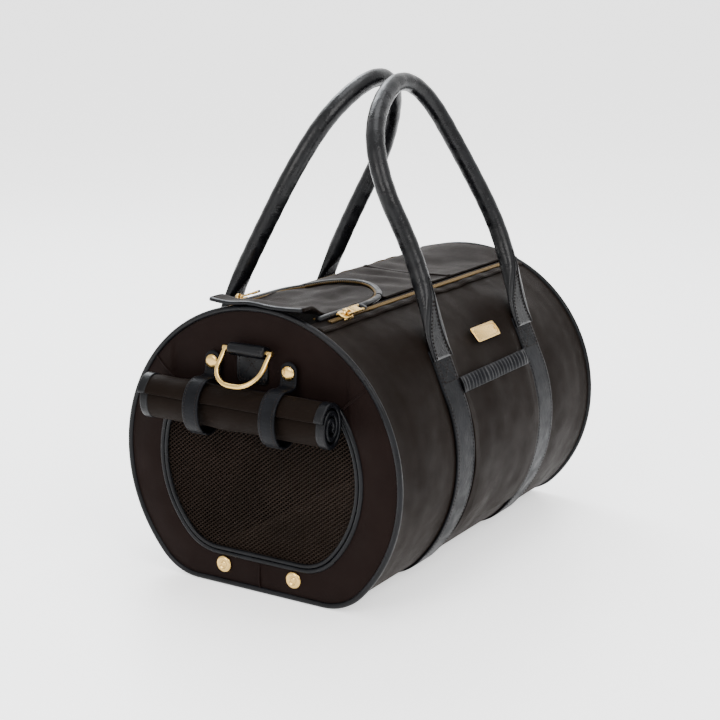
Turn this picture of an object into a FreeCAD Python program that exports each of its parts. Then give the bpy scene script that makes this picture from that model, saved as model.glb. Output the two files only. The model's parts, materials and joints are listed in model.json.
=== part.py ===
"""Soft-sided pet carrier bag with two rolled leather handles, in millimetres.

The bag lies along X with its front end at -X and its near side at -Y. Its origin is at the
centre of the footprint, on the surface it stands on.
"""
import FreeCAD
import Part
import math
import os

V = FreeCAD.Vector
X_AXIS = V(1, 0, 0)
Y_AXIS = V(0, 1, 0)

# Bag body: the section is a circle over a flat base with rounded corners
LENGTH = 388.0
SECTION_R = 140.0
SECTION_Z = 114.0
CORNER_R = 50.0
BASE_Z = 2.6
CLOTH = 2.4
PIPING_R = 2.6
PIPING_GROW = -0.2
HOOP_R = 1.6
PANEL_GROW = -2.9
GAP = 0.4

# Top opening
ZIP_Y = 53.3
TAPE_IN_Y = 48.5
TAPE_OUT_Y = 58.0
LID_HALF = 47.5
LID_Z = 245.2
LID_T = 2.0
LID_REAR_X = 165.0
LID_FOLD_X = 20.0
ARC_REAR_X = -30.0
ARC_FRONT_X = -100.0
LEAF_FRONT_X = -62.0
FLAP_FRONT_X = -199.0
FLAP_FRONT_Z = 257.2
CHAIN_W = 5.0
CHAIN_H = 2.2
SLIDER_X = -143.0
SLIDER_LEN = 16.0
PULL_LEN = 27.0
PULL_T = 1.6
PULL_LIFT = 3.5

# End windows
WINDOW_R = 100.0
WINDOW_CORNER_R = 42.0
WINDOW_BASE_Z = 33.0
WINDOW_TOP_Z = 178.0
BINDING_W = 6.0

# Leather straps and handles
STRAP_X = (-80.6, 83.5)
STRAP_W = 33.0
STRAP_T = 2.4
HINGE_Y = 110.0
HINGE_Z = 215.0
LEAN = 24.5
STRAP_END_W = -4.5
FLARE_FROM_W = 3.0
FLARE_TO_W = 40.0
GRIP_R = 8.5
COVER_T = 2.4
CORE_R = 5.8
# Grip centre lines: (x, distance up the handle's leaning plane)
GRIP_ROUTE = {
    "near": ((-72, 43), (-67, 88), (-77, 150), (-54, 205), (14, 243), (60, 226),
             (84, 158), (102, 90), (95, 43)),
    "far": ((-86, 43), (-79, 90), (-67, 156), (-42, 212), (15, 247), (66, 226),
            (94, 160), (83, 94), (80, 43)),
}

# Front fittings, a little off the centre line as sewn
FITTING_Y = 5.0
ROLL_DEEP = 17.0
ROLL_TALL = 22.5
ROLL_X = -214.5
ROLL_Z = 168.0
ROLL_Y = 8.0
ROLL_LEN = 190.0
ROLL_BIND = 8.0
ROLL_STRAP_Y = (-39.0, 39.0)
ROLL_STRAP_W = 16.0
ROLL_STRAP_T = 2.2
ROLL_HINGE_DEG = 240.0
STRAP_TOP_DEG = 70.0
CAP_Z = 204.0
CAP_R = 6.0
SNAP_Y = 36.7
SNAP_Z = 19.6
SNAP_R = 7.5
RING_BAR_Z = 219.0
RING_W = 50.0
RING_DROP = 35.0
RING_WIRE = 2.25
RING_REST_DEG = {"front": 42.0, "rear": 0.0}
TAB_R = 5.0
TAB_W = 37.0
RING_OUT = 8.5

# Near side trim
POCKET_X = (-62.0, 65.0)
POCKET_TOP_DEG = 29.0
POCKET_BAND_DEG = 4.8
POCKET_Z = 36.0
PLATE_X = 16.0
PLATE_L = 45.0
PLATE_W = 15.0
PLATE_DEG = 41.0

HALF = LENGTH / 2
FAR_AWAY = 400.0
SIDES = {"near": -1, "far": 1}
ENDS = {"front": -1, "rear": 1}


def box(x0, x1, y0, y1, z0, z1):
    """Box between two opposite corners."""
    return Part.makeBox(x1 - x0, y1 - y0, z1 - z0, V(x0, y0, z0))


def outline(x, radius, corner, base, grow=0.0):
    """Closed wire of a round-topped section in the plane x, grown outward by grow."""
    corner_z = base + corner
    reach = radius - corner
    corner_y = math.sqrt(reach ** 2 - (SECTION_Z - corner_z) ** 2)
    big = radius + grow
    small = corner + grow
    tangent = math.atan2(corner_z - SECTION_Z, corner_y)
    middle = (tangent - math.pi / 2) / 2
    edges = []
    ends = {}
    for s in (1, -1):
        foot = V(x, s * corner_y, base - grow)
        bend = V(x, s * (corner_y + small * math.cos(middle)), corner_z + small * math.sin(middle))
        joint = V(x, s * big * math.cos(tangent), SECTION_Z + big * math.sin(tangent))
        edges.append(Part.Arc(foot, bend, joint).toShape())
        ends[s] = (foot, joint)
    edges.append(Part.Arc(ends[1][1], V(x, 0, SECTION_Z + big), ends[-1][1]).toShape())
    edges.append(Part.LineSegment(ends[-1][0], ends[1][0]).toShape())
    return Part.Wire(Part.__sortEdges__(edges))


def bag_outline(x, grow=0.0):
    return outline(x, SECTION_R, CORNER_R, BASE_Z, grow)


def window_outline(x, grow=0.0):
    return outline(x, WINDOW_R, WINDOW_CORNER_R, WINDOW_BASE_Z, grow)


def prism(wire, depth):
    return Part.Face(wire).extrude(V(depth, 0, 0))


def sleeve(x0, x1, outer, inner):
    """Tube of the bag's section between two grown outlines."""
    outside = prism(bag_outline(x0, outer), x1 - x0)
    return outside.cut(prism(bag_outline(x0 - 1, inner), x1 - x0 + 2))


def polar_box(side, degrees, x0, x1, width, r0, r1):
    """Box whose floor faces the section's centre, at an angle from the vertical."""
    block = box(x0, x1, -width / 2, width / 2, SECTION_Z + r0, SECTION_Z + r1)
    block.rotate(V(0, 0, SECTION_Z), X_AXIS, -side * degrees)
    return block


def lean_point(side, x, w, out=0.0):
    """Point of a handle's leaning plane, w up it from the hinge and out from it."""
    a = math.radians(LEAN)
    y = HINGE_Y - w * math.sin(a) + out * math.cos(a)
    return V(x, side * y, HINGE_Z + w * math.cos(a) + out * math.sin(a))


def rounded_path(points):
    """Straight runs joined by tangent arcs as large as the runs allow."""
    edges = []
    last = points[0]
    for before, corner, after in zip(points, points[1:], points[2:]):
        back = before - corner
        ahead = after - corner
        turn = math.pi - back.getAngle(ahead)
        cut = 0.45 * min(back.Length, ahead.Length)
        start = corner + back.normalize() * cut
        end = corner + ahead.normalize() * cut
        inward = back + ahead
        inward.normalize()
        sag = cut / math.tan(turn / 2) * (1 / math.cos(turn / 2) - 1)
        edges.append(Part.LineSegment(last, start).toShape())
        edges.append(Part.Arc(start, corner + inward * sag, end).toShape())
        last = end
    edges.append(Part.LineSegment(last, points[-1]).toShape())
    return Part.Wire(edges)


def tube(path, radius):
    """Round solid along a path of straight runs and arcs."""
    first = path.OrderedEdges[0]
    start = first.valueAt(first.FirstParameter)
    ring = Part.Wire(Part.makeCircle(radius, start, first.tangentAt(first.FirstParameter)))
    return path.makePipeShell([ring], True, False)


def export(name, shape):
    """Write one node as a STEP file of clean solids."""
    solids = shape.Solids
    kept = solids[0] if len(solids) == 1 else Part.makeCompound(solids)
    assert kept.isValid() and kept.Volume > 0, name
    kept.exportStep("parts/" + name + ".step")


def make_shell():
    """Base, side walls, linings, zip tapes and the fixed rear of the top.

    The soft base sags to the ground between the straps.
    """
    corner_y = math.sqrt((SECTION_R - CORNER_R) ** 2 - (SECTION_Z - BASE_Z - CORNER_R) ** 2)
    x0 = -HALF + PIPING_R + 0.2
    x1 = HALF - PIPING_R - 0.2
    skin = sleeve(x0, x1, 0, -CLOTH)
    lining = sleeve(x0 + 6, x1 - 6, -CLOTH - GAP, -CLOTH - GAP - 1.6)
    under = box(-FAR_AWAY, FAR_AWAY, -corner_y, corner_y, -10, 30)
    over = box(-FAR_AWAY, FAR_AWAY, -TAPE_OUT_Y, TAPE_OUT_Y, 200, 300)
    rest = box(STRAP_X[0] + 20, STRAP_X[1] - 20, -60, 60, 0, BASE_Z + 0.5)
    export("base_panel", skin.common(under).fuse(rest).removeSplitter())
    for name, s in SIDES.items():
        other = box(-FAR_AWAY, FAR_AWAY, 0, FAR_AWAY, -50, FAR_AWAY)
        if s > 0:
            other = box(-FAR_AWAY, FAR_AWAY, -FAR_AWAY, 0, -50, FAR_AWAY)
        export(name + "_side_wall", skin.cut(other).cut(under).cut(over))
        export(name + "_lining", lining.cut(other).cut(under).cut(over))
        tape = sleeve(x0, x1, 0, -1.2)
        inner, outer = sorted((s * TAPE_IN_Y, s * TAPE_OUT_Y))
        tape = tape.common(box(x0, LID_REAR_X + 2, inner, outer, 200, 300))
        export(name + "_zip_tape", tape)
        zip_deg = math.degrees(math.asin(ZIP_Y / SECTION_R))
        low = SECTION_R + 0.1
        chain = polar_box(s, zip_deg, x0 + 24, LID_REAR_X - 2, CHAIN_W, low, low + CHAIN_H)
        export(name + "_zip_chain", chain)
    rear_top = skin.common(box(LID_REAR_X + 2 + GAP, x1, -TAPE_OUT_Y, TAPE_OUT_Y, 200, 300))
    export("top_rear_panel", rear_top)


def make_floor():
    """Stiff board and the loose cushion on it."""
    low = BASE_Z + CLOTH + 0.2
    board = box(-HALF + 12, HALF - 12, -62, 62, low, low + 3)
    export("base_board", board)
    cushion = box(-HALF + 14, HALF - 14, -76, 76, low + 3.4, low + 22)
    upright = [e for e in cushion.Edges if abs(e.tangentAt(e.FirstParameter).z) > 0.9]
    cushion = cushion.makeFillet(24, upright)
    hull = prism(bag_outline(-HALF + 10, -CLOTH - 3), LENGTH - 20)
    export("floor_cushion", cushion.common(hull))


def make_end(name, s):
    """One end panel with its mesh window, binding, piping and wire hoop."""
    face = s * HALF
    low, high = sorted((face, face - s * CLOTH))
    window_top = box(-FAR_AWAY, FAR_AWAY, -FAR_AWAY, FAR_AWAY, WINDOW_TOP_Z, FAR_AWAY)
    hole = prism(window_outline(low - 1), CLOTH + 2).cut(window_top)
    export(name + "_panel", prism(bag_outline(low, PANEL_GROW), CLOTH).cut(hole))
    mesh_low = min(face - s * 0.6, face - s * 1.6)
    mesh_top = window_top.translated(V(0, 0, -0.2))
    export(name + "_mesh", prism(window_outline(mesh_low, -0.2), 1.0).cut(mesh_top))
    out_low = min(face + s * 0.1, face + s * 1.9)
    band = prism(window_outline(out_low, 4.0), 1.8)
    band = band.cut(prism(window_outline(out_low - 1, 4.0 - BINDING_W), 4)).cut(window_top)
    export(name + "_window_binding", band)
    export(name + "_piping", tube(bag_outline(face, PIPING_GROW), PIPING_R))
    hoop_x = face - s * (CLOTH + HOOP_R + 0.6)
    export(name + "_hoop", tube(bag_outline(hoop_x, -CLOTH - GAP - HOOP_R), HOOP_R))
    make_ring(name, s)


def make_ring(name, s):
    """D-ring on its rolled leather tab and stitched patch."""
    y = FITTING_Y if name == "front" else 0.0
    face = s * HALF
    bar_x = s * (HALF + RING_OUT)
    low, high = sorted((face + s * 0.1, face + s * 2.1))
    export(name + "_ring_patch", box(low, high, y - 16, y + 16, RING_BAR_Z - 30, RING_BAR_Z + 4))
    roll = Part.makeCylinder(TAB_R, TAB_W, V(bar_x, y - TAB_W / 2, RING_BAR_Z), Y_AXIS)
    near_x, far_x = sorted((high if s > 0 else low, bar_x))
    neck = box(near_x, far_x, y - TAB_W / 2, y + TAB_W / 2, RING_BAR_Z - 2.5, RING_BAR_Z + TAB_R)
    bore = Part.makeCylinder(RING_WIRE + 0.4, RING_W, V(bar_x, y - RING_W / 2, RING_BAR_Z), Y_AXIS)
    export(name + "_ring_tab", roll.fuse(neck).removeSplitter().cut(bore))
    half = RING_W / 2 - RING_WIRE
    bend = 20.0
    down = -RING_DROP
    points = [(-half, 0), (-half, down + bend), (-half + bend, down), (half - bend, down),
              (half, down + bend), (half, 0)]
    at = [V(bar_x, y + py, RING_BAR_Z + pz) for py, pz in points]
    turn = bend * (1 - math.sqrt(0.5))
    edges = [Part.LineSegment(at[0], at[1]).toShape()]
    mid = V(bar_x, y - half + turn, RING_BAR_Z + down + turn)
    edges.append(Part.Arc(at[1], mid, at[2]).toShape())
    edges.append(Part.LineSegment(at[2], at[3]).toShape())
    mid = V(bar_x, y + half - turn, RING_BAR_Z + down + turn)
    edges.append(Part.Arc(at[3], mid, at[4]).toShape())
    edges.append(Part.LineSegment(at[4], at[5]).toShape())
    bow = tube(Part.Wire(edges), RING_WIRE)
    bar = Part.makeCylinder(RING_WIRE, 2 * half + 2 * RING_WIRE,
                            V(bar_x, y - half - RING_WIRE, RING_BAR_Z), Y_AXIS)
    ring = bow.fuse(bar)
    ring.rotate(V(bar_x, 0, RING_BAR_Z), Y_AXIS, -s * RING_REST_DEG[name])
    export(name + "_d_ring", ring)


def make_body_straps():
    """Leather straps that run under the bag and leave it in a straight line to the handles."""
    middle = SECTION_R + 0.1 + STRAP_T / 2
    reach = math.hypot(HINGE_Y, HINGE_Z - SECTION_Z)
    leave = math.atan2(HINGE_Z - SECTION_Z, HINGE_Y) - math.acos(middle / reach)
    top_z = SECTION_Z + middle * math.sin(leave)
    run = math.sqrt(reach ** 2 - middle ** 2)
    for name, x in zip(ENDS, STRAP_X):
        x0 = x - STRAP_W / 2
        band = sleeve(x0, x0 + STRAP_W, 0.1 + STRAP_T, 0.1)
        band = band.common(box(x0, x0 + STRAP_W, -200, 200, -5, top_z))
        for s in SIDES.values():
            end = box(x0, x0 + STRAP_W, middle - STRAP_T / 2, middle + STRAP_T / 2,
                      SECTION_Z - 1.0, SECTION_Z + run + STRAP_END_W)
            end.rotate(V(0, 0, SECTION_Z), X_AXIS, math.degrees(leave))
            if s < 0:
                end = end.mirror(V(0, 0, 0), Y_AXIS)
            band = band.fuse(end)
        export(name + "_body_strap", band.removeSplitter())


def make_handles():
    """Rolled grips with a rope core, and the flares that spread them into flat straps."""
    for name, s in SIDES.items():
        route = GRIP_ROUTE[name]
        path = rounded_path([lean_point(s, x, w) for x, w in route])
        cover = tube(path, GRIP_R)
        export(name + "_handle_cover", cover.cut(tube(path, GRIP_R - COVER_T)))
        export(name + "_handle_core", tube(path, CORE_R))
        flares = []
        for strap_x, foot in zip(STRAP_X, (route[0], route[-1])):
            wires = []
            for x, w, wide, thick in ((strap_x, FLARE_FROM_W, STRAP_W, 3.6),
                                      (foot[0], FLARE_TO_W, 2 * GRIP_R, 14.0)):
                corners = [(-wide, -thick), (wide, -thick), (wide, thick), (-wide, thick)]
                ring = [lean_point(s, x + a / 2, w, b / 2) for a, b in corners]
                wires.append(Part.makePolygon(ring + ring[:1]))
            flares.append(Part.makeLoft(wires, True, True))
        export(name + "_handle_flares", Part.makeCompound(flares))


def front_arc_prism(grow, z0, z1):
    """Front of the lid's neck cut-out: a half ellipse between the zips, as a prism."""
    half_w = LID_HALF + grow
    depth = ARC_REAR_X - ARC_FRONT_X + grow
    curve = Part.Ellipse(V(0, 0, 0), depth, half_w).toShape()
    shape = Part.Face(Part.Wire(curve)).extrude(V(0, 0, z1 - z0))
    shape.translate(V(ARC_FRONT_X, 0, z0))
    return shape.fuse(box(-FAR_AWAY, ARC_FRONT_X, -half_w, half_w, z0, z1))


def make_lid():
    """Top panel in two leaves, its bound U-shaped neck edge, and the head flap."""
    top = LID_Z + LID_T
    rear = box(LID_FOLD_X + GAP, LID_REAR_X, -LID_HALF, LID_HALF, LID_Z, top)
    export("lid_rear", rear)
    leaf = box(LEAF_FRONT_X, LID_FOLD_X - GAP, -LID_HALF, LID_HALF, LID_Z, top)
    neck = front_arc_prism(-4.0, LID_Z - 5, top + 5)
    leaf = leaf.cut(front_arc_prism(-1.0, LID_Z - 5, top + 5))
    export("lid_front", leaf)
    edge = box(LEAF_FRONT_X, ARC_REAR_X + 8, -LID_HALF, LID_HALF, top + 0.1, top + 2.1)
    edge = edge.common(front_arc_prism(3.0, LID_Z, top + 3)).cut(neck)
    export("neck_binding", edge)
    low = LID_Z - 0.4
    profile = [(FLAP_FRONT_X, FLAP_FRONT_Z), (FLAP_FRONT_X + 15, FLAP_FRONT_Z), (-150, low),
               (ARC_REAR_X, low), (ARC_REAR_X, low + LID_T), (-149, low + LID_T),
               (FLAP_FRONT_X + 15.5, FLAP_FRONT_Z + LID_T), (FLAP_FRONT_X, FLAP_FRONT_Z + LID_T)]
    points = [V(x, -LID_HALF, z) for x, z in profile]
    flap = Part.Face(Part.makePolygon(points + points[:1])).extrude(V(0, 2 * LID_HALF, 0))
    export("head_flap", flap.common(front_arc_prism(-5.0, 200, 300)))


def make_sliders():
    """Zip sliders that straddle the chain, each with a hanging pull."""
    zip_deg = math.degrees(math.asin(ZIP_Y / SECTION_R))
    x0 = SLIDER_X - SLIDER_LEN / 2
    x1 = SLIDER_X + SLIDER_LEN / 2
    roof = SECTION_R + 0.1 + CHAIN_H + GAP
    skirt = SECTION_R + GAP
    for name, s in SIDES.items():
        plate = polar_box(s, zip_deg, x0, x1, 11, roof, roof + 1.8)
        channel = polar_box(s, zip_deg, x0 - 1, x1 + 1, CHAIN_W + 1.2, skirt - 1, roof)
        body = plate.fuse(polar_box(s, zip_deg, x0, x1, 11, skirt, roof)).cut(channel)
        bridge = polar_box(s, zip_deg, SLIDER_X - 4, SLIDER_X + 4, 3, roof + 1.8, roof + 6.4)
        bridge = bridge.cut(polar_box(s, zip_deg, SLIDER_X - 2.2, SLIDER_X + 2.2, 5,
                                      roof + 1.8, roof + 5.4))
        export(name + "_zip_slider", body.fuse(bridge).removeSplitter())
        low = roof + PULL_LIFT - PULL_T / 2
        pull = polar_box(s, zip_deg, SLIDER_X - 1.4, SLIDER_X + PULL_LEN, 9, low, low + PULL_T)
        pull = pull.cut(polar_box(s, zip_deg, SLIDER_X + 0.7, SLIDER_X + 5.5, 4.4, low - 1, low + 3))
        eye = polar_box(s, zip_deg, SLIDER_X + PULL_LEN - 7, SLIDER_X + PULL_LEN - 2.5, 4.4,
                        low - 1, low + 3)
        export(name + "_zip_pull", pull.cut(eye))


def oval_bar(grow, y0, length):
    """Solid with the roll's oval section, grown outward, along Y."""
    centre = V(ROLL_X, y0, ROLL_Z)
    curve = Part.Ellipse(centre + V(0, 0, ROLL_TALL + grow), centre + V(ROLL_DEEP + grow, 0, 0), centre)
    return Part.Face(Part.Wire(curve.toShape())).extrude(V(0, length, 0))


def oval_point(degrees, grow, y=0.0):
    """Point on the roll's grown oval section."""
    a = math.radians(degrees)
    return V(ROLL_X + (ROLL_DEEP + grow) * math.cos(a), y, ROLL_Z + (ROLL_TALL + grow) * math.sin(a))


def make_roll():
    """Rolled-up privacy flap, its bound ends and the two snap straps round it."""
    y0 = ROLL_Y - ROLL_LEN / 2
    export("rolled_flap", oval_bar(-0.6, y0 + ROLL_BIND, ROLL_LEN - 2 * ROLL_BIND))
    ends = []
    for start in (y0, y0 + ROLL_LEN - ROLL_BIND):
        hole = Part.makeCylinder(4.0, ROLL_LEN, V(ROLL_X, y0 - 5, ROLL_Z), Y_AXIS)
        ends.append(oval_bar(0, start, ROLL_BIND).cut(hole))
    export("roll_end_bindings", Part.makeCompound(ends))
    inner = 0.4
    outer = inner + ROLL_STRAP_T
    panel_x = -HALF - 0.1
    anchors = []
    studs = []
    for name, offset in zip(SIDES, ROLL_STRAP_Y):
        y = FITTING_Y + offset
        y0 = y - ROLL_STRAP_W / 2
        loop = oval_bar(outer, y0, ROLL_STRAP_W).cut(oval_bar(inner, y0 - 1, ROLL_STRAP_W + 2))
        front = [V(ROLL_X, y0 - 1, ROLL_Z)]
        front += [oval_point(a, 2 * ROLL_TALL, y0 - 1) for a in (STRAP_TOP_DEG, 120, 180, ROLL_HINGE_DEG - 3)]
        wedge = Part.Face(Part.makePolygon(front + front[:1])).extrude(V(0, ROLL_STRAP_W + 2, 0))
        moving = loop.common(wedge)
        low_tip = oval_point(STRAP_TOP_DEG, inner + 0.1, y0)
        high_tip = oval_point(STRAP_TOP_DEG + 3, outer - 0.1, y0)
        face_x = panel_x - 3.4
        strip = [low_tip, V(face_x, y0, CAP_Z - 10), V(face_x, y0, CAP_Z + 8),
                 V(face_x - ROLL_STRAP_T, y0, CAP_Z + 8), V(face_x - ROLL_STRAP_T, y0, CAP_Z - 7.5), high_tip]
        tail = Part.Face(Part.makePolygon(strip + strip[:1])).extrude(V(0, ROLL_STRAP_W, 0))
        export(name + "_roll_strap", moving.fuse(tail).removeSplitter())
        cap_x = face_x - ROLL_STRAP_T - 0.1
        export(name + "_roll_cap", Part.makeCylinder(CAP_R, 2.2, V(cap_x, y, CAP_Z), V(-1, 0, 0)))
        studs.append(Part.makeCylinder(4.0, 2.4, V(panel_x, y, CAP_Z), V(-1, 0, 0)))
        back = [V(ROLL_X, y0 - 1, ROLL_Z)]
        back += [oval_point(a, 2 * ROLL_TALL, y0 - 1) for a in (ROLL_HINGE_DEG + 3, 285, 312)]
        wedge = Part.Face(Part.makePolygon(back + back[:1])).extrude(V(0, ROLL_STRAP_W + 2, 0))
        foot = oval_point(310, inner + 0.2, y0)
        link = box(foot.x - 1, panel_x, y0, y0 + ROLL_STRAP_W, foot.z - ROLL_STRAP_T, foot.z)
        link = link.cut(oval_bar(inner, y0 - 1, ROLL_STRAP_W + 2))
        anchors.append(loop.common(wedge).fuse(link).removeSplitter())
    export("roll_strap_anchors", Part.makeCompound(anchors))
    export("roll_strap_studs", Part.makeCompound(studs))
    snaps = []
    for s in SIDES.values():
        at = V(-HALF - 0.1, s * SNAP_Y, SNAP_Z)
        button = Part.makeCylinder(SNAP_R, 3.2, at, V(-1, 0, 0))
        button = button.makeFillet(1.2, [button.Edges[0]]) if button.Edges else button
        dimple = Part.makeSphere(3.4, V(at.x - 5.2, at.y, at.z))
        snaps.append(button.cut(dimple))
    export("panel_snap_studs", Part.makeCompound(snaps))


def make_side_trim():
    """Slip pocket with its gathered band, and the blank nameplate with two rivets."""
    x0, x1 = POCKET_X
    panel = sleeve(x0, x1, 0.3 + 1.6, 0.3)
    top_z = SECTION_Z + SECTION_R * math.sin(math.radians(POCKET_TOP_DEG))
    band_z = SECTION_Z + SECTION_R * math.sin(math.radians(POCKET_TOP_DEG - POCKET_BAND_DEG))
    export("pocket_panel", panel.common(box(x0, x1, -200, -60, POCKET_Z, band_z)))
    band = sleeve(x0, x1, 0.3 + 2.6, 0.3).common(box(x0, x1, -200, -60, band_z + 0.1, top_z))
    export("pocket_band", band)
    seat = SECTION_R + 0.2
    turn = 90 - PLATE_DEG
    plate = polar_box(-1, turn, PLATE_X - PLATE_L / 2, PLATE_X + PLATE_L / 2, PLATE_W, seat, seat + 1.4)
    export("nameplate", plate)
    rivets = []
    for s in (-1, 1):
        pin = Part.makeCylinder(1.5, 1.0, V(PLATE_X + s * (PLATE_L / 2 - 4), 0, SECTION_Z + seat + 1.5))
        pin.rotate(V(0, 0, SECTION_Z), X_AXIS, turn)
        rivets.append(pin)
    export("nameplate_rivets", Part.makeCompound(rivets))


os.makedirs("parts", exist_ok=True)
make_shell()
make_floor()
for end_name, end_sign in ENDS.items():
    make_end(end_name, end_sign)
make_body_straps()
make_handles()
make_lid()
make_sliders()
make_roll()
make_side_trim()
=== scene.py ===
"""Soft-sided pet carrier bag: fabric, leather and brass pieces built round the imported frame."""
import json
import math
import bmesh
import bpy
import numpy as np
from mathutils import Matrix, Vector, noise


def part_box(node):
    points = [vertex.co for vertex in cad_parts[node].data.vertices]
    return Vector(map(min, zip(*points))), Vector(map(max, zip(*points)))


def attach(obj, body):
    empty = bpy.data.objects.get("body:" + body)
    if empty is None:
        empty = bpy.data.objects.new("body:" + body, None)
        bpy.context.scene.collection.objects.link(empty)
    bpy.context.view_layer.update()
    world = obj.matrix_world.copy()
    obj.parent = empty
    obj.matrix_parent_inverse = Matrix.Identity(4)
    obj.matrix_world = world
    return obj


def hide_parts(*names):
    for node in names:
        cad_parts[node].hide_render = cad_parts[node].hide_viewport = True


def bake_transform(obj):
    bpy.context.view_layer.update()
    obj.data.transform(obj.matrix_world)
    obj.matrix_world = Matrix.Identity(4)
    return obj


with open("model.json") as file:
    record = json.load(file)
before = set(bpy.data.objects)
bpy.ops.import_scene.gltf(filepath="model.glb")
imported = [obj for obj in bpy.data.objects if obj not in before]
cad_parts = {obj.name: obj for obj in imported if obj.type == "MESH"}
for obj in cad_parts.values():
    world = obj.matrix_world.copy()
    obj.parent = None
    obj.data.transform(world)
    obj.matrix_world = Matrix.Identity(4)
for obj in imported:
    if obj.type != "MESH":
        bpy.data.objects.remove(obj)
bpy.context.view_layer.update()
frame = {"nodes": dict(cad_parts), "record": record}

MM = 0.001
SIDES = {"near": -1, "far": 1}
ENDS = {"front": -1, "rear": 1}


def box_mm(node):
    """Lowest and highest corner of a CAD node, in millimetres."""
    low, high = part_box(node)
    return np.array(low) / MM, np.array(high) / MM


# ---- Sizes in millimetres: read from the frame where it holds them, otherwise set to match it ----
PANEL_LOW, PANEL_HIGH = box_mm("front_panel")
PANEL_INSET = 2.9
HALF = -PANEL_LOW[0]
BAG_R = (PANEL_HIGH[1] - PANEL_LOW[1]) / 2 + PANEL_INSET
BASE_Z = PANEL_LOW[2] - PANEL_INSET
CENTRE_Z = PANEL_HIGH[2] + PANEL_INSET - BAG_R
CORNER_R = 50.0
CORNER_Z = BASE_Z + CORNER_R
CORNER_Y = math.sqrt((BAG_R - CORNER_R) ** 2 - (CENTRE_Z - CORNER_Z) ** 2)
CORNER_TURN = math.atan2(CORNER_Z - CENTRE_Z, CORNER_Y)
SIDE_RUN = BAG_R * (math.pi / 2 - CORNER_TURN)
CORNER_RUN = CORNER_R * (CORNER_TURN + math.pi / 2)
HALF_RUN = SIDE_RUN + CORNER_RUN + CORNER_Y
ZIP_DEG = 22.38
TAPE_OUT_Y = 58.0
STRAP_X = [float((box_mm(n + "_body_strap")[0][0] + box_mm(n + "_body_strap")[1][0]) / 2) for n in ENDS]
STRAP_W = 33.0
JOINTS = {j["name"]: j for j in frame["record"]["behaviour"]["joints"]}
HINGE_Y, HINGE_Z = (abs(c) / MM for c in JOINTS["near_handle_swing"]["pos_m"][1:])
LEAN = math.radians(24.5)
LID_HALF = 47.5
LID_TOP = box_mm("lid_rear")[1][2]
LID_REAR_X = box_mm("lid_rear")[1][0]
FOLD_X = JOINTS["lid_fold"]["pos_m"][0] / MM
SEAM_X = FOLD_X + 40.0
ARC_X = -100.0
ARC_DEPTH = 70.0
LEAF_FRONT_X = box_mm("lid_front")[0][0]
FLAP_LOW, FLAP_HIGH = box_mm("head_flap")
ROLL_LOW, ROLL_HIGH = box_mm("roll_end_bindings")
ROLL_X = (ROLL_LOW[0] + ROLL_HIGH[0]) / 2
ROLL_Z = (ROLL_LOW[2] + ROLL_HIGH[2]) / 2
ROLL_DEEP = (ROLL_HIGH[0] - ROLL_LOW[0]) / 2
ROLL_TALL = (ROLL_HIGH[2] - ROLL_LOW[2]) / 2


# ---- Materials ----
def material(name, colour, roughness, metallic=0.0):
    """New node material with its tree and principled shader."""
    made = bpy.data.materials.new(name)
    made.use_nodes = True
    tree = made.node_tree
    shader = tree.nodes["Principled BSDF"]
    shader.inputs["Base Color"].default_value = (*colour, 1)
    shader.inputs["Roughness"].default_value = roughness
    shader.inputs["Metallic"].default_value = metallic
    return made, tree, shader


def add_node(tree, kind, **values):
    """New node with named inputs set to numbers or linked to sockets."""
    made = tree.nodes.new(kind)
    for key, value in values.items():
        socket = made.inputs[int(key[1:])] if key[0] == "i" and key[1:].isdigit() else made.inputs[key]
        if isinstance(value, bpy.types.NodeSocket):
            tree.links.new(value, socket)
        else:
            socket.default_value = value
    return made


def maths(tree, operation, a, b=0.0):
    made = add_node(tree, "ShaderNodeMath", i0=a, i1=b)
    made.operation = operation
    return made.outputs[0]


def place(tree):
    """Object coordinates of the shaded point."""
    return tree.nodes.new("ShaderNodeTexCoord").outputs["Object"]


def blotches(tree, scale, detail=3.0):
    made = add_node(tree, "ShaderNodeTexNoise", Vector=place(tree), Scale=scale, Detail=detail)
    return made.outputs["Fac"]


def ramp(tree, factor, low, high, start=0.3, end=0.7):
    """Colour ramp between two colours or greys."""
    made = add_node(tree, "ShaderNodeValToRGB", Fac=factor)
    for stop, value, at in zip(made.color_ramp.elements, (low, high), (start, end)):
        stop.position = at
        stop.color = (*value, 1) if hasattr(value, "__len__") else (value, value, value, 1)
    return made.outputs["Color"]


def bump(tree, shader, height, strength, distance=0.0004):
    made = add_node(tree, "ShaderNodeBump", Height=height, Strength=strength, Distance=distance)
    tree.links.new(made.outputs["Normal"], shader.inputs["Normal"])


def weave(tree, mode, pitch):
    """Crossed threads: along the wall and round it, or across and up a panel."""
    split = add_node(tree, "ShaderNodeSeparateXYZ", Vector=place(tree)).outputs
    if mode == "wall":
        across = split["X"]
        angle = maths(tree, "ARCTAN2", maths(tree, "SUBTRACT", split["Z"], CENTRE_Z * MM), split["Y"])
        along = maths(tree, "MULTIPLY", angle, BAG_R * MM)
    elif mode == "panel":
        across, along = split["Y"], split["Z"]
    else:
        across, along = split["X"], split["Y"]
    turn = 2 * math.pi / pitch
    one = maths(tree, "SINE", maths(tree, "MULTIPLY", across, turn))
    two = maths(tree, "SINE", maths(tree, "MULTIPLY", along, turn))
    return maths(tree, "MULTIPLY", one, two)


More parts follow.
